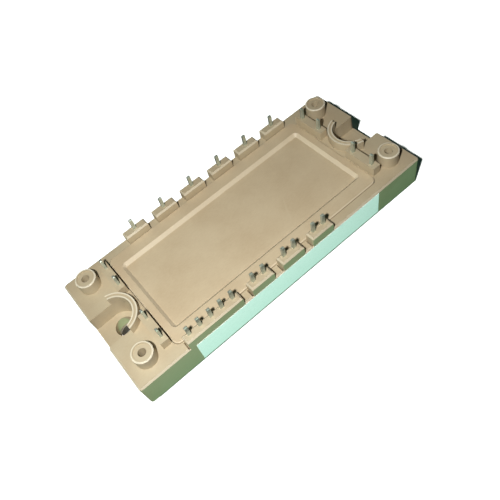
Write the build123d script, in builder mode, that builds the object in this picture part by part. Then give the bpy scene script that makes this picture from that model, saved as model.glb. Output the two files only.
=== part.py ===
# Power switch module with solder pins: a moulded frame on a copper base plate, and inside it the
# ceramic substrate with its chips, bond ribbons and soft gel, closed by a flat lid.
# Millimetres. +X runs along the module, +Y across it, +Z up from the underside of the base plate,
# and the origin is the centre of that underside.

import os
from math import atan2, degrees, radians, tan

from build123d import *

os.makedirs("parts", exist_ok=True)

# Frame: its ends and sides are measured outwards from the seat of the lid
frame_end = 14.8
frame_side = 3.15
frame_top = 12.6
frame_rim = 2.3
frame_corner = 1.0
frame_edge = 0.5

# Base plate and the glue under the frame
plate_thickness = 3.0
plate_inset = 1.3
plate_corner = 1.5
plate_clearance = 0.15
glue_thickness = 0.2
glue_margin = 1.0

# Heat sink screws, and the pockets that are open to the ends of the frame
screw_setback = 7.25
screw_hole = 5.5
screw_passage = 6.2
pocket_setback = 6.75
pocket_radius = 5.7
pocket_floor = 7.3
pocket_draft = 4.0
notch_step = 0.1
notch_corner = 1.0
collar_wall = 1.5
collar_end = 1.2
collar_groove = 0.5
collar_groove_depth = 0.2

# Stand-off bosses for the circuit board, set back from the ends and sides of the frame
boss_end_setback = 6.75
boss_side_setback = 6.5
boss_diameter = 6.6
boss_height = 4.4
boss_edge = 0.2
boss_dish = 5.1
boss_dish_depth = 0.3
boss_hole = 2.5
boss_hole_depth = 8.0

# Lid: its ends are measured from the outermost pins of the front row
lid_end = 4.51
lid_width = 38.4
lid_corner = 2.0
lid_edge = 0.3
lid_gap = 0.15
lid_thickness = 2.2
lid_rise = 0.5
lid_border_x = 2.4
lid_border_y = 4.5
lid_recess_depth = 1.1
lid_recess_corner = 1.5
lid_slope = 1.0
lid_rib_height = 1.0
lid_rib_wall = 1.0

# Hollow of the frame
lid_ledge = 2.0
shelf_height = 5.8
shelf_width = 1.8
hollow_corner = 1.0

# Solder pins: flat blades with a bent foot, in rows along the four walls
pin_pitch = 3.81
pin_width = 1.1
pin_thickness = 0.8
pin_height = 7.6
front_row_setback = 2.1
back_row_setback = 1.5
end_row_offset = 1.45
pin_tip = 0.25
pin_bend = 0.5
pin_foot = 1.3

# Pin places, counted in pitches from the middle of the module
back_pitches = 3
back_count = 6
back_shift = 2.8
front_pairs = [-3, 0, 3]
front_group = [-9, -8, -7, -6, -5]
end_places = [-4, -2, 2, 4]

# Raised blocks that hold the pins, and the slits beside them
block_height = 3.3
block_edge = 0.5
pin_margin = 2.1
back_margin = 4.1
end_block_offset = 0.25
end_block_width = 2.8
slit_width = 0.5
slit_length = 2.6
slit_depth = 2.0

# Label on the front wall, set back from the ends, the rim and the top of the frame
label_left_setback = 19.15
label_right_setback = 17.75
label_bottom_setback = 0.5
label_top_setback = 0.6
label_thickness = 0.1

# Ceramic substrate and its tracks
substrate_margin = 0.5
solder_thickness = 0.2
copper_thickness = 0.3
ceramic_thickness = 0.6
copper_setback = 0.8
track_gap = 0.8
track_columns = 3
strip_width = 2.6
gate_pad_length = 3.4
gate_pad_gap = 0.4

# Chips
chip_solder_thickness = 0.1
chip_solder_margin = 0.2
igbt_size = 8.5
igbt_thickness = 0.2
igbt_offset = -4.8
diode_size = 6.0
diode_thickness = 0.3
diode_offset = 5.2

# Bond ribbons and gel
ribbon_thickness = 0.2
ribbon_foot = 0.8
ribbon_angle = 60.0
igbt_ribbon = 1.2
igbt_ribbon_shifts = (-1.3, 1.3)
diode_ribbon = 2.4
diode_ribbon_shifts = (0,)
emitter_rise = 1.6
emitter_reach = 1.6
gate_ribbon = 0.4
gate_rise = 1.0
gate_inset = 0.7
terminal_ribbon = 0.8
terminal_rise = 0.6
landing_inset = 0.8
end_landing_inset = 1.1
end_landing_corner = 3.4
gel_drop = 2.3

# Outlines, places and heights that follow
lid_length = 2 * (lid_end - front_group[0] * pin_pitch)
recess_length = lid_length + 2 * lid_gap
recess_width = lid_width + 2 * lid_gap
half_length = recess_length / 2 + frame_end
half_width = recess_width / 2 + frame_side
frame_length = 2 * half_length
frame_width = 2 * half_width
screw_x = half_length - screw_setback
pocket_x = half_length - pocket_setback
notch_width = 2 * (pocket_radius - notch_step)
collar_radius = pocket_radius + collar_wall
boss_x = half_length - boss_end_setback
boss_y = half_width - boss_side_setback
front_row_y = half_width - front_row_setback
back_row_y = half_width - back_row_setback
end_row_x = recess_length / 2 + end_row_offset
frame_seat = plate_thickness + glue_thickness
plate_length = frame_length - 2 * plate_inset
plate_width = frame_width - 2 * plate_inset
block_top = frame_top + block_height
boss_top = frame_top + boss_height
pin_top = frame_top + pin_height
lid_top = frame_top + lid_rise
lid_bottom = lid_top - lid_thickness
gel_height = lid_bottom - gel_drop
hollow_length = recess_length - 2 * lid_ledge
hollow_width = recess_width - 2 * lid_ledge
well_length = hollow_length - 2 * shelf_width
well_width = hollow_width - 2 * shelf_width
foot_top = shelf_height + pin_thickness

ceramic_length = well_length - 2 * substrate_margin
ceramic_width = well_width - 2 * substrate_margin
copper_length = ceramic_length - 2 * copper_setback
copper_width = ceramic_width - 2 * copper_setback
bottom_copper_z = plate_thickness + solder_thickness
ceramic_z = bottom_copper_z + copper_thickness
top_copper_z = ceramic_z + ceramic_thickness
track_top = top_copper_z + copper_thickness
chip_z = track_top + chip_solder_thickness

column_length = (copper_length - (track_columns - 1) * track_gap) / track_columns
column_pitch = column_length + track_gap
columns = [(i - (track_columns - 1) / 2) * column_pitch for i in range(track_columns)]
island_width = (copper_width - strip_width - 2 * track_gap) / 2
island_y = strip_width / 2 + track_gap + island_width / 2
gate_pad_width = (strip_width - gate_pad_gap) / 2
gate_pad_y = (gate_pad_gap + gate_pad_width) / 2
strip_length = column_length - gate_pad_length - track_gap

up = Vector(0, 0, 1)


def standing_plane(x, y, direction):
    # Upright plane through (x, y): its first axis runs along direction, its second points up.
    return Plane(origin=(x, y, 0), x_dir=direction, z_dir=direction.cross(up))


def bent_pin(x, y, inward, to_hollow):
    # A blade with its upright at (x, y) and its foot laid on the shelf, towards the middle.
    half = pin_thickness / 2
    foot_end = to_hollow + pin_foot
    outline = [
        (-half, pin_top),
        (-half, shelf_height + pin_bend),
        (pin_bend - half, shelf_height),
        (foot_end, shelf_height),
        (foot_end, foot_top),
        (half, foot_top),
        (half, pin_top),
    ]
    with BuildPart() as pin:
        with BuildSketch(standing_plane(x, y, inward)):
            with BuildLine():
                Polyline(*outline, close=True)
            make_face()
        extrude(amount=pin_width / 2, both=True)
        chamfer(pin.faces().sort_by(Axis.Z)[-1].edges(), length=pin_tip)
    return pin.part


# Pins: their rows, from -X to +X and from -Y to +Y

back_pitch = back_pitches * pin_pitch
back_x = [back_shift + (i - (back_count - 1) / 2) * back_pitch for i in range(back_count)]
front_x = [place * pin_pitch for place in front_group]
front_x += [(first + step) * pin_pitch for first in front_pairs for step in (0, 1)]
end_y = [place * pin_pitch for place in end_places]
front_reach = front_row_y - hollow_width / 2
back_reach = back_row_y - hollow_width / 2
end_reach = end_row_x - hollow_length / 2

pins = {}
for number, x in enumerate(back_x, 1):
    pins[f"terminal_back_{number}"] = bent_pin(x, back_row_y, Vector(0, -1, 0), back_reach)
for number, x in enumerate(front_x, 1):
    pins[f"terminal_front_{number:02d}"] = bent_pin(x, -front_row_y, Vector(0, 1, 0), front_reach)
for number, y in enumerate(end_y, 1):
    pins[f"terminal_left_{number}"] = bent_pin(-end_row_x, y, Vector(1, 0, 0), end_reach)
    pins[f"terminal_right_{number}"] = bent_pin(end_row_x, y, Vector(-1, 0, 0), end_reach)

for name, pin in pins.items():
    pin.label = name
    export_step(pin, f"parts/{name}.step")


# Base plate

with BuildPart() as base_plate:
    with BuildSketch():
        RectangleRounded(plate_length, plate_width, plate_corner)
        with Locations((-screw_x, 0), (screw_x, 0)):
            Circle(screw_hole / 2, mode=Mode.SUBTRACT)
    extrude(amount=plate_thickness)
base_plate.part.label = "base_plate"
export_step(base_plate.part, "parts/base_plate.step")


# Glue between the base plate and the frame

with BuildPart() as frame_adhesive:
    with BuildSketch(Plane.XY.offset(plate_thickness)):
        Rectangle(plate_length - 2 * glue_margin, plate_width - 2 * glue_margin)
        Rectangle(well_length, well_width, mode=Mode.SUBTRACT)
        with Locations((-screw_x, 0), (screw_x, 0)):
            Circle(screw_passage / 2 + glue_margin, mode=Mode.SUBTRACT)
    extrude(amount=glue_thickness)
frame_adhesive.part.label = "frame_adhesive"
export_step(frame_adhesive.part, "parts/frame_adhesive.step")


# Frame

block_y = (recess_width / 2 + half_width) / 2
block_depth = half_width - recess_width / 2
front_blocks = [(front_group[0] * pin_pitch, front_group[-1] * pin_pitch)]
front_blocks += [(first * pin_pitch, (first + 1) * pin_pitch) for first in front_pairs]
front_blocks = [(low - pin_margin, high + pin_margin) for low, high in front_blocks]
back_blocks = [(x - back_margin, x + back_margin) for x in back_x]
end_block_x = recess_length / 2 + end_block_offset + end_block_width / 2
end_block_y = (end_y[-2] + end_y[-1]) / 2
end_block_length = end_y[-1] - end_y[-2] + 2 * pin_margin
block_root = frame_top - 2 * frame_edge
notch_length = half_length - pocket_x
flare = 2 * notch_corner
groove_radius = pocket_radius + collar_wall / 2

with BuildPart() as frame:
    with BuildSketch(Plane.XY.offset(frame_rim)):
        RectangleRounded(frame_length, frame_width, frame_corner)
    extrude(amount=frame_top - frame_rim)
    chamfer(frame.faces().sort_by(Axis.Z)[-1].edges(), length=frame_edge)

    # screw pockets, each with a notch to the end wall
    for side, mouth_group in ((-1, 1), (1, -2)):
        with BuildSketch(Plane.XY.offset(frame_top)) as pocket:
            with Locations((side * pocket_x, 0)):
                Circle(pocket_radius)
            with Locations((side * (pocket_x + notch_length / 2), 0)):
                Rectangle(notch_length, notch_width)
            with Locations((side * (half_length + flare / 2), 0)):
                Rectangle(flare, notch_width + 2 * flare)
            mouth = pocket.vertices().group_by(Axis.X)[mouth_group]
            fillet(mouth.sort_by(Axis.Y)[1:-1], radius=notch_corner)
        extrude(amount=pocket_floor - frame_top, taper=pocket_draft, mode=Mode.SUBTRACT)

    # raised blocks along both sides
    with BuildSketch(Plane.XY.offset(block_root)):
        for side, blocks in ((-1, front_blocks), (1, back_blocks)):
            for low, high in blocks:
                with Locations(((low + high) / 2, side * block_y)):
                    Rectangle(high - low, block_depth)
    extrude(amount=block_top - block_root)
    chamfer(frame.faces().filter_by_position(Axis.Z, block_top, block_top).edges(), block_edge)

    # half collars round the pockets, with the end blocks that grow out of them
    with BuildSketch(Plane.XY.offset(frame_top)):
        with Locations((-pocket_x, 0), (pocket_x, 0)):
            Circle(collar_radius)
        for side in (-1, 1):
            with Locations((side * (pocket_x - collar_end + collar_radius), 0)):
                Rectangle(2 * collar_radius, 2 * collar_radius, mode=Mode.SUBTRACT)
            with Locations((side * end_block_x, -end_block_y), (side * end_block_x, end_block_y)):
                Rectangle(end_block_width, end_block_length)
        with Locations((-pocket_x, 0), (pocket_x, 0)):
            Circle(pocket_radius, mode=Mode.SUBTRACT)
    extrude(amount=block_height)

    # shallow groove along the top of each collar
    with BuildSketch(Plane.XY.offset(block_top)):
        with Locations((-pocket_x, 0), (pocket_x, 0)):
            Circle(groove_radius + collar_groove / 2)
            Circle(groove_radius - collar_groove / 2, mode=Mode.SUBTRACT)
    extrude(amount=-collar_groove_depth, mode=Mode.SUBTRACT)

    # stand-off bosses
    with BuildSketch(Plane.XY.offset(frame_top)):
        with GridLocations(2 * boss_x, 2 * boss_y, 2, 2):
            Circle(boss_diameter / 2)
    extrude(amount=boss_height)
    chamfer(frame.faces().sort_by(Axis.Z)[-4:].edges(), length=boss_edge)
    with Locations(Plane.XY.offset(boss_top)):
        with GridLocations(2 * boss_x, 2 * boss_y, 2, 2):
            CounterBoreHole(boss_hole / 2, boss_dish / 2, boss_dish_depth, boss_hole_depth)

    # seat of the lid, hollow, well for the substrate and seat of the base plate
    with BuildSketch(Plane.XY.offset(frame_top)):
        RectangleRounded(recess_length, recess_width, lid_corner + lid_gap)
    extrude(amount=lid_bottom - frame_top, mode=Mode.SUBTRACT)
    with BuildSketch(Plane.XY.offset(lid_bottom)):
        RectangleRounded(hollow_length, hollow_width, hollow_corner)
    extrude(amount=shelf_height - lid_bottom, mode=Mode.SUBTRACT)
    with BuildSketch(Plane.XY.offset(shelf_height)):
        Rectangle(well_length, well_width)
    extrude(amount=frame_rim - shelf_height, mode=Mode.SUBTRACT)
    with BuildSketch(Plane.XY.offset(frame_rim)):
        RectangleRounded(
            plate_length + 2 * plate_clearance,
            plate_width + 2 * plate_clearance,
            plate_corner + plate_clearance,
        )
    extrude(amount=frame_seat - frame_rim, mode=Mode.SUBTRACT)
    with BuildSketch(Plane.XY.offset(frame_seat)):
        with Locations((-screw_x, 0), (screw_x, 0)):
            Circle(screw_passage / 2)
    extrude(amount=pocket_floor - frame_seat, mode=Mode.SUBTRACT)

    # slits at one end of each side block
    with BuildSketch(Plane.XY.offset(frame_top)):
        for low, high in front_blocks:
            with Locations((low - slit_width / 2, -block_y)):
                Rectangle(slit_width, slit_length)
        for low, high in back_blocks:
            with Locations((high + slit_width / 2, block_y)):
                Rectangle(slit_width, slit_length)
    extrude(amount=-slit_depth, mode=Mode.SUBTRACT)

    # the plastic is moulded round the pins
    add(list(pins.values()), mode=Mode.SUBTRACT)
frame.part.label = "frame"
export_step(frame.part, "parts/frame.step")


# Lid

slope_angle = degrees(atan2(lid_slope, lid_recess_depth))
rib_length = hollow_length - 2 * lid_gap
rib_width = hollow_width - 2 * lid_gap

with BuildPart() as lid:
    with BuildSketch(Plane.XY.offset(lid_bottom)):
        RectangleRounded(lid_length, lid_width, lid_corner)
    extrude(amount=lid_thickness)
    chamfer(lid.faces().sort_by(Axis.Z)[-1].edges(), length=lid_edge)
    with BuildSketch(Plane.XY.offset(lid_top)):
        RectangleRounded(
            lid_length - 2 * lid_border_x, lid_width - 2 * lid_border_y, lid_recess_corner
        )
    extrude(amount=-lid_recess_depth, taper=slope_angle, mode=Mode.SUBTRACT)
    with BuildSketch(Plane.XY.offset(lid_bottom)):
        RectangleRounded(rib_length, rib_width, hollow_corner)
        Rectangle(rib_length - 2 * lid_rib_wall, rib_width - 2 * lid_rib_wall, mode=Mode.SUBTRACT)
    extrude(amount=-lid_rib_height)
lid.part.label = "lid"
export_step(lid.part, "parts/lid.step")


# Label

label_left = label_left_setback - half_length
label_right = half_length - label_right_setback
label_bottom = frame_rim + label_bottom_setback
label_top = frame_top - label_top_setback

with BuildPart() as label:
    with BuildSketch(Plane.XZ.offset(half_width)):
        with Locations(((label_left + label_right) / 2, (label_bottom + label_top) / 2)):
            Rectangle(label_right - label_left, label_top - label_bottom)
    extrude(amount=label_thickness)
label.part.label = "label"
export_step(label.part, "parts/label.step")


# Substrate: solder, copper, ceramic and the etched copper tracks

with BuildPart() as substrate_solder:
    with BuildSketch(Plane.XY.offset(plate_thickness)):
        Rectangle(copper_length, copper_width)
    extrude(amount=solder_thickness)
substrate_solder.part.label = "substrate_solder"
export_step(substrate_solder.part, "parts/substrate_solder.step")

with BuildPart() as substrate_bottom_copper:
    with BuildSketch(Plane.XY.offset(bottom_copper_z)):
        Rectangle(copper_length, copper_width)
    extrude(amount=copper_thickness)
substrate_bottom_copper.part.label = "substrate_bottom_copper"
export_step(substrate_bottom_copper.part, "parts/substrate_bottom_copper.step")

with BuildPart() as substrate_ceramic:
    with BuildSketch(Plane.XY.offset(ceramic_z)):
        Rectangle(ceramic_length, ceramic_width)
    extrude(amount=ceramic_thickness)
substrate_ceramic.part.label = "substrate_ceramic"
export_step(substrate_ceramic.part, "parts/substrate_ceramic.step")

with BuildPart() as substrate_top_copper:
    with BuildSketch(Plane.XY.offset(top_copper_z)):
        for column in columns:
            left = column - column_length / 2
            with Locations((column, -island_y), (column, island_y)):
                Rectangle(column_length, island_width)
            with Locations((column + (column_length - strip_length) / 2, 0)):
                Rectangle(strip_length, strip_width)
            pad_x = left + gate_pad_length / 2
            with Locations((pad_x, -gate_pad_y), (pad_x, gate_pad_y)):
                Rectangle(gate_pad_length, gate_pad_width)
    extrude(amount=copper_thickness)
substrate_top_copper.part.label = "substrate_top_copper"
export_step(substrate_top_copper.part, "parts/substrate_top_copper.step")


# Chips and the solder under them

chip_rows = (-island_y, island_y)
igbt_places = [(column + igbt_offset, y) for y in chip_rows for column in columns]
diode_places = [(column + diode_offset, y) for y in chip_rows for column in columns]

with BuildPart() as chip_solder:
    with BuildSketch(Plane.XY.offset(track_top)):
        with Locations(*igbt_places):
            Rectangle(igbt_size + 2 * chip_solder_margin, igbt_size + 2 * chip_solder_margin)
        with Locations(*diode_places):
            Rectangle(diode_size + 2 * chip_solder_margin, diode_size + 2 * chip_solder_margin)
    extrude(amount=chip_solder_thickness)
chip_solder.part.label = "chip_solder"
export_step(chip_solder.part, "parts/chip_solder.step")

chips = {}
for kind, places, size, thickness in (
    ("igbt", igbt_places, igbt_size, igbt_thickness),
    ("diode", diode_places, diode_size, diode_thickness),
):
    for number, (x, y) in enumerate(places, 1):
        with BuildPart() as chip:
            with BuildSketch(Plane.XY.offset(chip_z)):
                with Locations((x, y)):
                    Rectangle(size, size)
            extrude(amount=thickness)
        chips[f"{kind}_chip_{number}"] = chip.part

for name, chip_part in chips.items():
    chip_part.label = name
    export_step(chip_part, f"parts/{name}.step")


# Bond ribbons

def ribbon_loop(start, end, rise, width):
    # A flat strip bonded down at start and end, with a straight-sided loop between them.
    run = Vector(end.X - start.X, end.Y - start.Y, 0)
    crest = max(start.Z, end.Z) + rise
    slope = tan(radians(ribbon_angle))
    mitre = ribbon_thickness * tan(radians(ribbon_angle / 2))
    half_foot = ribbon_foot / 2
    rise_end = half_foot + (crest - start.Z) / slope
    fall_start = run.length - half_foot - (crest - end.Z) / slope
    under = [
        (-half_foot, start.Z),
        (half_foot, start.Z),
        (rise_end, crest),
        (fall_start, crest),
        (run.length - half_foot, end.Z),
        (run.length + half_foot, end.Z),
    ]
    shifts = [0, -mitre, -mitre, mitre, mitre, 0]
    over = [(s + shift, z + ribbon_thickness) for (s, z), shift in zip(under, shifts)]
    with BuildPart() as ribbon:
        with BuildSketch(standing_plane(start.X, start.Y, run.normalized())):
            with BuildLine():
                Polyline(*under, *reversed(over), close=True)
            make_face()
        extrude(amount=width / 2, both=True)
    return ribbon.part


def side_of(y):
    return 1 if y > 0 else -1


def landing_x(x):
    # The place nearest to x that lies on an island of the copper.
    column = min(columns, key=lambda centre: abs(x - centre))
    reach = column_length / 2 - landing_inset
    return min(max(x, column - reach), column + reach)


emitter_loops = []
for places, thickness, shifts, width in (
    (igbt_places, igbt_thickness, igbt_ribbon_shifts, igbt_ribbon),
    (diode_places, diode_thickness, diode_ribbon_shifts, diode_ribbon),
):
    for x, y in places:
        for shift in shifts:
            chip_bond = Vector(x + shift, y - side_of(y) * emitter_reach, chip_z + thickness)
            strip_bond = Vector(x + shift, side_of(y) * strip_width / 4, track_top)
            emitter_loops.append(ribbon_loop(chip_bond, strip_bond, emitter_rise, width))

gate_loops = []
for x, y in igbt_places:
    gate_x = x - igbt_size / 2 + gate_inset
    gate_y = y - side_of(y) * (igbt_size / 2 - gate_inset)
    chip_bond = Vector(gate_x, gate_y, chip_z + igbt_thickness)
    pad_bond = Vector(gate_x, side_of(y) * gate_pad_y, track_top)
    gate_loops.append(ribbon_loop(chip_bond, pad_bond, gate_rise, gate_ribbon))

terminal_loops = []
for side, row in ((-1, front_x), (1, back_x)):
    foot_y = side * (hollow_width / 2 - pin_foot / 2)
    land_y = side * (copper_width / 2 - landing_inset)
    for x in row:
        foot_bond = Vector(x, foot_y, foot_top)
        land_bond = Vector(landing_x(x), land_y, track_top)
        terminal_loops.append(
            ribbon_loop(foot_bond, land_bond, terminal_rise, terminal_ribbon)
        )
for side in (-1, 1):
    foot_x = side * (hollow_length / 2 - pin_foot / 2)
    land_x = side * (copper_length / 2 - end_landing_inset)
    land_limit = copper_width / 2 - end_landing_corner
    for y in end_y:
        foot_bond = Vector(foot_x, y, foot_top)
        land_bond = Vector(land_x, min(max(y, -land_limit), land_limit), track_top)
        terminal_loops.append(
            ribbon_loop(foot_bond, land_bond, terminal_rise, terminal_ribbon)
        )

with BuildPart() as emitter_ribbons:
    add(emitter_loops)
emitter_ribbons.part.label = "emitter_ribbons"
export_step(emitter_ribbons.part, "parts/emitter_ribbons.step")

with BuildPart() as gate_ribbons:
    add(gate_loops)
gate_ribbons.part.label = "gate_ribbons"
export_step(gate_ribbons.part, "parts/gate_ribbons.step")

with BuildPart() as terminal_ribbons:
    add(terminal_loops)
terminal_ribbons.part.label = "terminal_ribbons"
export_step(terminal_ribbons.part, "parts/terminal_ribbons.step")


# Gel: it fills the hollow up to its level, round everything that stands in it

embedded = [substrate_solder.part, substrate_bottom_copper.part, substrate_ceramic.part]
embedded += [substrate_top_copper.part, chip_solder.part, *chips.values(), *pins.values()]
embedded += [emitter_ribbons.part, gate_ribbons.part, terminal_ribbons.part]

with BuildPart() as silicone_gel:
    with BuildSketch(Plane.XY.offset(plate_thickness)):
        Rectangle(well_length, well_width)
    extrude(amount=shelf_height - plate_thickness)
    with BuildSketch(Plane.XY.offset(shelf_height)):
        RectangleRounded(hollow_length, hollow_width, hollow_corner)
    extrude(amount=gel_height - shelf_height)
    add(embedded, mode=Mode.SUBTRACT)
silicone_gel.part.label = "silicone_gel"
export_step(silicone_gel.part, "parts/silicone_gel.step")
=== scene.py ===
# Power switch module with solder pins: finishes, soft edges, floor, light and camera.
# Lengths in the finishes and the edges are millimetres, and all others are metres.

import math

import bpy
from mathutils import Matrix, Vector

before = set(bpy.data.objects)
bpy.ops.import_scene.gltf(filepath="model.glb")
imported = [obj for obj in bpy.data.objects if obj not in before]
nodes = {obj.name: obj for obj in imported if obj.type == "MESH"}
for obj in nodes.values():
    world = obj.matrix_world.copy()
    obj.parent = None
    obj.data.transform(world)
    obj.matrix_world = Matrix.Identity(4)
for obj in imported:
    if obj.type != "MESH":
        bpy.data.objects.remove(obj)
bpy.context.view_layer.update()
print("frame loaded:", len(nodes), "nodes")


# Shader sums

class Wire:
    # one output socket of a material; sums on it add Math nodes
    def __init__(self, tree, socket=None):
        self.tree = tree
        self.socket = socket

    def node(self, kind, settings=None, inputs=None, output=0):
        made = self.tree.nodes.new("ShaderNode" + kind)
        for name, value in (settings or {}).items():
            setattr(made, name, value)
        for name, value in (inputs or {}).items():
            feed(made.inputs[name], value)
        return Wire(self.tree, made.outputs[output])

    def sum(self, operation, *values):
        return self.node("Math", {"operation": operation}, dict(enumerate(values)))

    def size(self):
        return self.sum("ABSOLUTE", self)

    def larger(self, other):
        return self.sum("MAXIMUM", self, other)

    def __add__(self, other):
        return self.sum("ADD", self, other)

    def __sub__(self, other):
        return self.sum("SUBTRACT", self, other)

    def __rsub__(self, other):
        return self.sum("SUBTRACT", other, self)

    def __mul__(self, other):
        return self.sum("MULTIPLY", self, other)

    __radd__ = __add__
    __rmul__ = __mul__

    # where this value goes from low to high, as 0 to 1
    def between(self, low, high):
        ends = {"Value": self, "From Min": low, "From Max": high}
        return self.node("MapRange", {"interpolation_type": "SMOOTHSTEP"}, ends)

    # from one colour to another as this value goes from 0 to 1
    def colours(self, start, end):
        return self.node("Mix", {"data_type": "RGBA"}, {0: self, 6: start, 7: end}, 2)


def feed(socket, value):
    if isinstance(value, Wire):
        value.tree.links.new(value.socket, socket)
    else:
        socket.default_value = value


def srgb(red, green, blue):
    # a colour as a screen shows it, 0 to 255, for a shader
    shares = [channel / 255 for channel in (red, green, blue)]
    return tuple(((s + 0.055) / 1.055) ** 2.4 if s > 0.04 else s / 12.92 for s in shares) + (1,)


# Patterns, on Object coordinates in millimetres

def newFinish(name):
    material = bpy.data.materials.new(name)
    material.use_nodes = True
    shader = material.node_tree.nodes["Principled BSDF"]
    start = Wire(material.node_tree)
    spot = start.node("TexCoord", output="Object")
    place = start.node("VectorMath", {"operation": "SCALE"}, {0: spot, "Scale": 1000.0})
    return material, shader, place


def stretched(place, x, y, z):
    return place.node("VectorMath", {"operation": "MULTIPLY"}, {0: place, 1: (x, y, z)})


def noise(place, size, detail=2.0, roughness=0.5):
    # soft noise whose blotches are about size millimetres wide
    values = {"Vector": place, "Scale": 1 / size, "Detail": detail, "Roughness": roughness}
    return place.node("TexNoise", None, values)


scratchWear = {"stretch": (1.0, 0.04, 1.0), "patchSize": 9.0, "patchRange": (0.56, 0.66)}


def scratches(place, spacing, width, angle):
    # hairlines along one direction, broken up by noise; the angle is in radians
    turn = {"Vector": place, "Angle": angle}
    turned = place.node("VectorRotate", {"rotation_type": "Z_AXIS"}, turn)
    cells = {"Vector": stretched(turned, *scratchWear["stretch"]), "Scale": 1 / spacing}
    edge = place.node("TexVoronoi", {"feature": "DISTANCE_TO_EDGE"}, cells)
    line = 1 - edge.between(0.0, width / spacing)
    return line * noise(place, scratchWear["patchSize"]).between(*scratchWear["patchRange"])


def bumped(place, height, depth, under=None):
    # a normal for this height; under is the normal of another bump
    values = {"Height": height, "Distance": depth / 1000}
    if under:
        values["Normal"] = under
    return place.node("Bump", None, values)


def dress(shader, values):
    for name, value in values.items():
        feed(shader.inputs[name], value)


# Moulded plastic of the frame and the lid

plastic = {
    "framePlastic": {"light": srgb(197, 182, 151), "dark": srgb(183, 164, 132), "shift": 0.0},
    "lidPlastic": {"light": srgb(208, 189, 156), "dark": srgb(193, 171, 137), "shift": 37.0},
    "cloud": {"size": 14.0, "detail": 3.0, "roughness": 0.6},
    "cloudRange": (0.3, 0.7),
    "cloudTone": 0.6,
    "fibre": {"size": 0.35, "detail": 3.0, "roughness": 0.65},
    "fibreStretch": (0.35, 1.0, 1.0),
    "fibreRange": (0.35, 0.7),
    "fibreTone": 0.25,
    "grain": {"size": 0.16, "detail": 4.0, "roughness": 0.7},
    "grainTone": 0.15,
    "longMarks": {"spacing": 2.6, "width": 0.05, "angle": 0.5},
    "crossMarks": {"spacing": 3.7, "width": 0.05, "angle": -0.9},
    "dust": srgb(222, 208, 182),
    "dustShare": 0.12,
    # pale colour for rubbed wear and for painted highlight
    "wearAndHighlight": srgb(244, 234, 210),
    "slantHighlight": 0.25,
    "rimWearAndHighlight": 0.65,
    "steepEdge": (0.15, 0.40),
    "flatEdge": (0.86, 0.98),
    "roughness": 0.47,
    "cloudRoughness": 0.10,
    "grainRoughness": 0.06,
    "markGloss": 0.12,
    "specular": 0.8,
    "grainHeight": 0.8,
    "fibreHeight": 0.5,
    "markHeight": 0.5,
    "grainDepth": 0.008,
    "waves": {"size": 7.0, "detail": 1.0},
    "waveDepth": 0.010,
}


def tilted(place):
    # 1 on slanting faces and rounded edges, 0 on faces that lie flat or stand upright; it places a
    # painted highlight
    normal = place.node("TexCoord", output="Normal")
    rise = place.node("SeparateXYZ", None, {0: normal}, "Z").size()
    return rise.between(*plastic["steepEdge"]) * (1 - rise.between(*plastic["flatEdge"]))


# The stand-offs and the collars are painted lighter along their rims, as rubbed wear and as painted
# highlight

rims = {
    "bossPlace": (47.0, 16.0, 0.0),
    "bossRadius": 3.08,
    "bossHeight": (16.6, 16.75),
    "collarPlace": (47.0, 0.0, 0.0),
    "collarOuter": 7.0,
    "collarInner": 5.85,
    "collarHeight": (15.6, 15.75),
    "width": (0.14, 0.34),
}


def rim(place, centre, radius):
    # 1 on a ring round this centre and round its mirror images in x and y
    folded = place.node("VectorMath", {"operation": "ABSOLUTE"}, {0: place})
    flat = stretched(folded, 1, 1, 0)
    reach = flat.node("VectorMath", {"operation": "DISTANCE"}, {0: flat, 1: centre}, "Value")
    return 1 - (reach - radius).size().between(*rims["width"])


def polishedAndHighlit(place):
    height = place.node("SeparateXYZ", None, {0: place}, "Z")
    boss = rim(place, rims["bossPlace"], rims["bossRadius"])
    outer = rim(place, rims["collarPlace"], rims["collarOuter"])
    inner = rim(place, rims["collarPlace"], rims["collarInner"])
    collar = (outer + inner) * height.between(*rims["collarHeight"])
    return boss * height.between(*rims["bossHeight"]) + collar


def mouldedPlastic(name):
    material, shader, place = newFinish(name)
    own = plastic[name]
    shift = (own["shift"], 2 * own["shift"], 0)
    shifted = place.node("VectorMath", {"operation": "ADD"}, {0: place, 1: shift})
    cloud = noise(shifted, **plastic["cloud"])
    fibre = noise(stretched(shifted, *plastic["fibreStretch"]), **plastic["fibre"])
    grain = noise(shifted, **plastic["grain"])
    marks = scratches(shifted, **plastic["longMarks"]) + scratches(shifted, **plastic["crossMarks"])
    cloudTone = cloud.between(*plastic["cloudRange"]) * plastic["cloudTone"]
    fibreTone = fibre.between(*plastic["fibreRange"]) * plastic["fibreTone"]
    tone = cloudTone + fibreTone + grain * plastic["grainTone"]
    body = tone.colours(own["light"], own["dark"])
    # rubbed wear and painted highlight on the rims of the stand-offs and the collars
    rings = polishedAndHighlit(place) * plastic["rimWearAndHighlight"]
    # slanting faces and rounded edges get a painted highlight, in the same pale colour as the rims
    wornAndHighlit = rings.larger(tilted(place) * plastic["slantHighlight"])
    colour = wornAndHighlit.colours(body, plastic["wearAndHighlight"])
    spread = cloud * plastic["cloudRoughness"] + grain * plastic["grainRoughness"]
    height = grain * plastic["grainHeight"] + fibre * plastic["fibreHeight"]
    fine = bumped(place, height - marks * plastic["markHeight"], plastic["grainDepth"])
    waves = noise(shifted, **plastic["waves"])
    values = {
        "Base Color": (marks * plastic["dustShare"]).colours(colour, plastic["dust"]),
        "Roughness": plastic["roughness"] + spread - marks * plastic["markGloss"],
        "Normal": bumped(place, waves, plastic["waveDepth"], fine),
        "Specular IOR Level": plastic["specular"],
    }
    dress(shader, values)
    return material


# Tinned pins, with fine drawing lines along them

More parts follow.
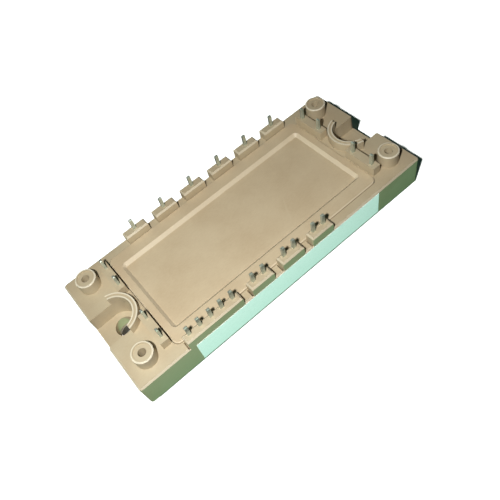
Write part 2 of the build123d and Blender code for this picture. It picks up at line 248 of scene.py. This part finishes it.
pin = {
    "light": srgb(206, 210, 196),
    "dark": srgb(172, 176, 162),
    "toneRange": (0.3, 0.7),
    "metallic": 0.6,
    "roughness": 0.22,
    "toneRoughness": 0.20,
    "lines": {"size": 0.12, "detail": 3.0, "roughness": 0.6},
    "lineStretch": (1.0, 1.0, 0.12),
    "cloud": {"size": 1.6, "detail": 3.0, "roughness": 0.6},
    "lineShare": 0.5,
    "lineDepth": 0.006,
}


def tinnedPin(name):
    material, shader, place = newFinish(name)
    lines = noise(stretched(place, *pin["lineStretch"]), **pin["lines"])
    cloud = noise(place, **pin["cloud"])
    tone = lines * pin["lineShare"] + cloud * (1 - pin["lineShare"])
    values = {
        "Base Color": tone.between(*pin["toneRange"]).colours(pin["light"], pin["dark"]),
        "Metallic": pin["metallic"],
        "Roughness": pin["roughness"] + tone * pin["toneRoughness"],
        "Normal": bumped(place, lines, pin["lineDepth"]),
    }
    dress(shader, values)
    return material


# Nickel-plated base plate, rolled lengthwise, with small stains and scratches

plate = {
    "light": srgb(202, 196, 182),
    "dark": srgb(176, 168, 152),
    "stain": srgb(128, 112, 92),
    "stainShare": 0.5,
    "toneRange": (0.35, 0.65),
    "metallic": 0.75,
    "roughness": 0.27,
    "cloudRoughness": 0.16,
    "lineRoughness": 0.08,
    "stainRoughness": 0.2,
    "lines": {"size": 0.22, "detail": 4.0, "roughness": 0.65},
    "lineStretch": (0.05, 1.0, 1.0),
    "lineShare": 0.4,
    "cloud": {"size": 11.0, "detail": 4.0, "roughness": 0.6},
    "stains": {"size": 0.5, "detail": 2.0},
    "stainRange": (0.66, 0.74),
    "steepMarks": {"spacing": 3.1, "width": 0.05, "angle": 1.1},
    "flatMarks": {"spacing": 4.3, "width": 0.04, "angle": 0.2},
    "markHeight": 0.8,
    "lineDepth": 0.010,
}


def platedCopper(name):
    material, shader, place = newFinish(name)
    lines = noise(stretched(place, *plate["lineStretch"]), **plate["lines"])
    cloud = noise(place, **plate["cloud"])
    stains = noise(place, **plate["stains"]).between(*plate["stainRange"])
    marks = scratches(place, **plate["steepMarks"]) + scratches(place, **plate["flatMarks"])
    tone = lines * plate["lineShare"] + cloud * (1 - plate["lineShare"])
    colour = tone.between(*plate["toneRange"]).colours(plate["light"], plate["dark"])
    spread = cloud * plate["cloudRoughness"] + lines * plate["lineRoughness"]
    values = {
        "Base Color": (stains * plate["stainShare"]).colours(colour, plate["stain"]),
        "Metallic": plate["metallic"],
        "Roughness": plate["roughness"] + spread + stains * plate["stainRoughness"],
        "Normal": bumped(place, lines - marks * plate["markHeight"], plate["lineDepth"]),
    }
    dress(shader, values)
    return material


# Bare metals inside

bareMetals = {
    "solder": {
        "light": srgb(178, 176, 170),
        "dark": srgb(150, 148, 142),
        "roughness": 0.35,
        "cloudSize": 1.5,
    },
    "copper": {
        "light": srgb(214, 142, 104),
        "dark": srgb(186, 112, 78),
        "roughness": 0.3,
        "cloudSize": 4.0,
    },
    "ribbonAluminium": {
        "light": srgb(214, 214, 212),
        "dark": srgb(192, 192, 190),
        "roughness": 0.28,
        "cloudSize": 0.8,
    },
    "cloud": {"detail": 4.0, "roughness": 0.6},
    "cloudRange": (0.3, 0.7),
    "cloudRoughness": 0.15,
    "depth": 0.010,
}


def bareMetal(name, kind):
    material, shader, place = newFinish(name)
    own = bareMetals[kind]
    cloud = noise(place, own["cloudSize"], **bareMetals["cloud"])
    values = {
        "Base Color": cloud.between(*bareMetals["cloudRange"]).colours(own["light"], own["dark"]),
        "Metallic": 1.0,
        "Roughness": own["roughness"] + cloud * bareMetals["cloudRoughness"],
        "Normal": bumped(place, cloud, bareMetals["depth"]),
    }
    dress(shader, values)
    return material


# Ceramic, silicon, gel and glue inside

ceramic = {
    "light": srgb(238, 236, 228),
    "dark": srgb(222, 219, 208),
    "grain": {"size": 0.3, "detail": 4.0, "roughness": 0.6},
    "roughness": 0.5,
    "grainRoughness": 0.1,
    "depth": 0.01,
}


def whiteCeramic(name):
    material, shader, place = newFinish(name)
    grain = noise(place, **ceramic["grain"])
    values = {
        "Base Color": grain.colours(ceramic["light"], ceramic["dark"]),
        "Roughness": ceramic["roughness"] + grain * ceramic["grainRoughness"],
        "Normal": bumped(place, grain, ceramic["depth"]),
    }
    dress(shader, values)
    return material


silicon = {
    "dark": srgb(74, 78, 84),
    "light": srgb(96, 98, 102),
    "cloud": {"size": 2.0, "detail": 2.0},
    "roughness": 0.18,
    "cloudRoughness": 0.1,
    "metallic": 0.4,
}


def siliconChip(name):
    material, shader, place = newFinish(name)
    cloud = noise(place, **silicon["cloud"])
    values = {
        "Base Color": cloud.colours(silicon["dark"], silicon["light"]),
        "Roughness": silicon["roughness"] + cloud * silicon["cloudRoughness"],
        "Metallic": silicon["metallic"],
    }
    dress(shader, values)
    return material


rubber = {
    "glue": {"light": srgb(70, 70, 66), "dark": srgb(54, 54, 50), "roughness": 0.55},
    "gel": {"light": srgb(206, 210, 200), "dark": srgb(190, 194, 184), "roughness": 0.15},
    "cloud": {"size": 3.0, "detail": 3.0},
    "cloudRoughness": 0.1,
    "depth": 0.03,
}


def softRubber(name):
    material, shader, place = newFinish(name)
    own = rubber[name]
    cloud = noise(place, **rubber["cloud"])
    values = {
        "Base Color": cloud.colours(own["light"], own["dark"]),
        "Roughness": own["roughness"] + cloud * rubber["cloudRoughness"],
        "Normal": bumped(place, cloud, rubber["depth"]),
    }
    dress(shader, values)
    return material


# Pale label under a clear film

label = {
    "paper": srgb(240, 244, 238),
    "fibre": srgb(226, 232, 224),
    "fibres": {"size": 0.25, "detail": 4.0, "roughness": 0.7},
    "fibreStretch": (0.4, 1.0, 1.0),
    "fibreRange": (0.4, 0.75),
    "fibreRoughness": 0.12,
    "waves": {"size": 5.0, "detail": 1.0},
    "waveHeight": 0.8,
    "fibreHeight": 0.2,
    "depth": 0.03,
    "roughness": 0.42,
    "coat": 1.0,
    "coatRoughness": 0.16,
}


def labelPaper(name):
    material, shader, place = newFinish(name)
    fibre = noise(stretched(place, *label["fibreStretch"]), **label["fibres"])
    wave = noise(place, **label["waves"])
    height = wave * label["waveHeight"] + fibre * label["fibreHeight"]
    values = {
        "Base Color": fibre.between(*label["fibreRange"]).colours(label["paper"], label["fibre"]),
        "Roughness": label["roughness"] + fibre * label["fibreRoughness"],
        "Normal": bumped(place, height, label["depth"]),
        "Coat Weight": label["coat"],
        "Coat Roughness": label["coatRoughness"],
    }
    dress(shader, values)
    return material


# Each CAD piece gets its finish

def finishFor(name, finishes):
    # by the piece's own name, or else by the kind that its name ends or begins with
    kinds = (name, name.rsplit("_", 1)[-1], name.rsplit("_", 1)[0], name.split("_")[0])
    return next(finishes[kind] for kind in kinds if kind in finishes)


def finishNodes():
    finishes = {
        "frame": mouldedPlastic("framePlastic"),
        "lid": mouldedPlastic("lidPlastic"),
        "terminal": tinnedPin("tinnedPin"),
        "base_plate": platedCopper("platedCopper"),
        "label": labelPaper("labelPaper"),
        "frame_adhesive": softRubber("glue"),
        "silicone_gel": softRubber("gel"),
        "substrate_solder": bareMetal("solder", "solder"),
        "substrate_bottom_copper": bareMetal("copper", "copper"),
        "substrate_ceramic": whiteCeramic("whiteCeramic"),
        "chip_solder": bareMetal("chipSolder", "solder"),
        "igbt_chip": siliconChip("igbtSilicon"),
        "diode_chip": siliconChip("diodeSilicon"),
        "ribbons": bareMetal("ribbonAluminium", "ribbonAluminium"),
    }
    finishes["substrate_top_copper"] = finishes["substrate_bottom_copper"]
    for name, piece in nodes.items():
        for slot in piece.material_slots:
            slot.material = finishFor(name, finishes)
    print("nodes finished:", len(nodes))


finishNodes()


# Moulded and worn edges: a small rounding catches the light

edges = {
    "width": {"frame": 0.06, "lid": 0.05, "base_plate": 0.10, "terminal": 0.05},
    "segments": 2,
    "angle": 40.0,
}


def isPin(name):
    return name.startswith("terminal_") and name[-1].isdigit()


def softenEdges():
    for name, piece in nodes.items():
        kind = "terminal" if isPin(name) else name
        if kind in edges["width"]:
            bpy.ops.object.select_all(action="DESELECT")
            bpy.context.view_layer.objects.active = piece
            bpy.ops.object.modifier_add(type="BEVEL")
            rounding = piece.modifiers[-1]
            rounding.width = edges["width"][kind] / 1000
            rounding.segments = edges["segments"]
            rounding.limit_method = "ANGLE"
            rounding.angle_limit = math.radians(edges["angle"])
    print("edges softened")


softenEdges()


# Floor

floor = {
    "size": 6.0,
    "light": srgb(196, 198, 196),
    "dark": srgb(192, 194, 192),
    "grain": {"size": 1.5, "detail": 3.0},
    "roughness": 0.6,
}


def makeFloor():
    bpy.ops.object.select_all(action="DESELECT")
    bpy.ops.mesh.primitive_plane_add(size=floor["size"], location=(0, 0, 0))
    piece = bpy.context.object
    piece.name = "floor"
    material, shader, place = newFinish("floorPaper")
    colour = noise(place, **floor["grain"]).colours(floor["light"], floor["dark"])
    dress(shader, {"Base Color": colour, "Roughness": floor["roughness"]})
    piece.data.materials.append(material)
    piece.visible_diffuse = False
    piece.visible_glossy = False
    print("floor made")
    return piece


floorPiece = makeFloor()


# Light: a small key lamp near the camera, a green bounce on the front wall, lamps for the far sides,
# the underside, the label and the pins, and a sun that draws the module's shadow on the floor

lamps = {
    "key": {
        "place": (-0.064, -0.076, 0.152),
        "size": 0.01,
        "power": 0.325,
        "colour": (0.985, 1.0, 1.0),
        "lights": "module",
    },
    "bounce": {
        "place": (-0.045, -0.13, -0.16),
        "size": 0.015,
        "power": 0.215,
        "colour": (0.0, 1.0, 0.5),
        "lights": "wall",
    },
    "side": {
        "place": (-0.3, 0.2, 0.3),
        "size": 0.3,
        "power": 0.10,
        "colour": (0.62, 1.0, 0.85),
        "lights": "module",
    },
    "back": {
        "place": (0.12, 0.42, -0.05),
        "size": 0.12,
        "power": 0.32,
        "colour": (1.0, 0.97, 0.9),
        "lights": "module",
    },
    "end": {
        "place": (0.5, 0.1, -0.06),
        "size": 0.12,
        "power": 0.30,
        "colour": (1.0, 0.97, 0.9),
        "lights": "module",
    },
    "left": {
        "place": (-0.5, 0.1, -0.06),
        "size": 0.12,
        "power": 0.4,
        "colour": (0.9, 1.0, 0.9),
        "lights": "module",
    },
    "below": {
        "place": (0.1, 0.3, -0.5),
        "size": 0.3,
        "power": 3.2,
        "colour": (1.0, 0.98, 0.96),
        "lights": "all",
    },
    "paper": {
        "place": (0.0, -0.3, 0.12),
        "size": 0.2,
        "power": 0.54,
        "colour": (0.74, 0.96, 0.97),
        "lights": "label",
    },
    "pins": {
        "place": (-0.1, -0.3, 0.12),
        "size": 0.12,
        "power": 0.2,
        "colour": (0.62, 1.0, 0.72),
        "lights": "pins",
    },
    "shade": {
        "place": (0.0, 0.0, 1.0),
        "size": 0.2,
        "power": 0.26,
        "colour": (0.0, 1.0, 0.8),
        "lights": "floor",
    },
}
sun = {"place": (-0.80, -0.41, 1.0), "spread": 2.0, "strength": 11.0}
sky = {"colour": (0.90, 0.92, 0.90, 1), "strength": 1.0}


def group(name, pieces):
    made = bpy.data.collections.new(name)
    for piece in pieces:
        made.objects.link(piece)
    return made


def addLamp(kind, name, place, receivers, blockers):
    # a lamp here shines at the origin, on the receivers alone, and the blockers alone cast shadows
    spot = Vector(place)
    turn = spot.to_track_quat("Z", "Y").to_euler()
    bpy.ops.object.select_all(action="DESELECT")
    bpy.ops.object.light_add(type=kind, location=spot, rotation=turn)
    lamp = bpy.context.object
    lamp.name = name
    lamp.visible_camera = False
    lamp.light_linking.receiver_collection = receivers
    lamp.light_linking.blocker_collection = blockers
    return lamp


def makeSky():
    # the backdrop shows behind the floor and lights nothing
    world = bpy.data.worlds.new("studio")
    world.use_nodes = True
    backdrop = world.node_tree.nodes["Background"]
    backdrop.inputs["Color"].default_value = sky["colour"]
    backdrop.inputs["Strength"].default_value = sky["strength"]
    world.cycles_visibility.diffuse = False
    world.cycles_visibility.glossy = False
    bpy.context.scene.world = world
    bpy.context.scene.view_settings.view_transform = "Standard"


def makeLight():
    lit = {
        "module": group("litModule", nodes.values()),
        "all": group("litAll", list(nodes.values()) + [floorPiece]),
        "wall": group("litWall", [nodes["frame"], nodes["label"]]),
        "label": group("litLabel", [nodes["label"]]),
        "pins": group("litPins", [piece for name, piece in nodes.items() if isPin(name)]),
        "floor": group("litFloor", [floorPiece]),
    }
    for name, values in lamps.items():
        # the shade lamp shines through the module and tints its shadow
        blockers = lit["floor"] if name == "shade" else lit["module"]
        lamp = addLamp("AREA", name, values["place"], lit[values["lights"]], blockers)
        lamp.visible_glossy = name != "bounce"
        lamp.data.shape = "DISK"
        lamp.data.size = values["size"]
        lamp.data.energy = values["power"]
        lamp.data.color = values["colour"]
    shadow = addLamp("SUN", "floorSun", sun["place"], lit["floor"], lit["module"])
    shadow.data.energy = sun["strength"]
    shadow.data.angle = math.radians(sun["spread"])
    makeSky()
    print("light set")


makeLight()


# Camera, at the photograph's angle

camera = {
    "place": (-0.04159, -0.08866, 0.14224),
    "turn": (32.38, 11.29, -39.03),
    "lens": 37.94,
    "sensor": 36.0,
    "shift": (0.0333, 0.0072),
    "nearest": 0.005,
}


def makeCamera():
    bpy.ops.object.select_all(action="DESELECT")
    turn = [math.radians(angle) for angle in camera["turn"]]
    bpy.ops.object.camera_add(location=camera["place"], rotation=turn)
    made = bpy.context.object
    made.name = "photoCamera"
    made.data.lens = camera["lens"]
    made.data.sensor_width = camera["sensor"]
    made.data.shift_x, made.data.shift_y = camera["shift"]
    made.data.clip_start = camera["nearest"]
    bpy.context.scene.camera = made
    print("camera set")


makeCamera()
